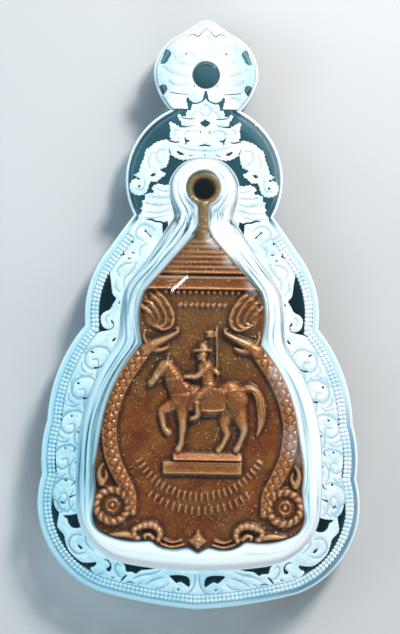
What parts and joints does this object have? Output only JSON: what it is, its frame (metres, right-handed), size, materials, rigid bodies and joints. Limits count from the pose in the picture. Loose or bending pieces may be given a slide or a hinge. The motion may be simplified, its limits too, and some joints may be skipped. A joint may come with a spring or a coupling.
{
  "type": "coin amulet in a sealed clear case",
  "caption": "Struck bronze medal with a hanging loop, sealed in a clear gourd-shaped case with frosted scroll ornament and a bail hole in its top lobe.",
  "frame": {"origin": "middle of the case's outline, on the flat face of the back dome that it rests on", "axes": "+Y along the pendant towards the bail hole, +Z out of the coin's front, +X to the viewer's right"},
  "size_m": [0.0372, 0.068, 0.008],
  "materials": {
    "clear_acrylic": "polished clear acrylic with a faint blue cast, frosted white on the raised ornament",
    "antique_bronze": "antique bronze, dark in the recesses and rubbed to a copper shine on the relief"
  },
  "bodies": {
    "root": {"case_front": "clear_acrylic", "case_back": "clear_acrylic", "coin": "antique_bronze"}
  },
  "joints": []
}
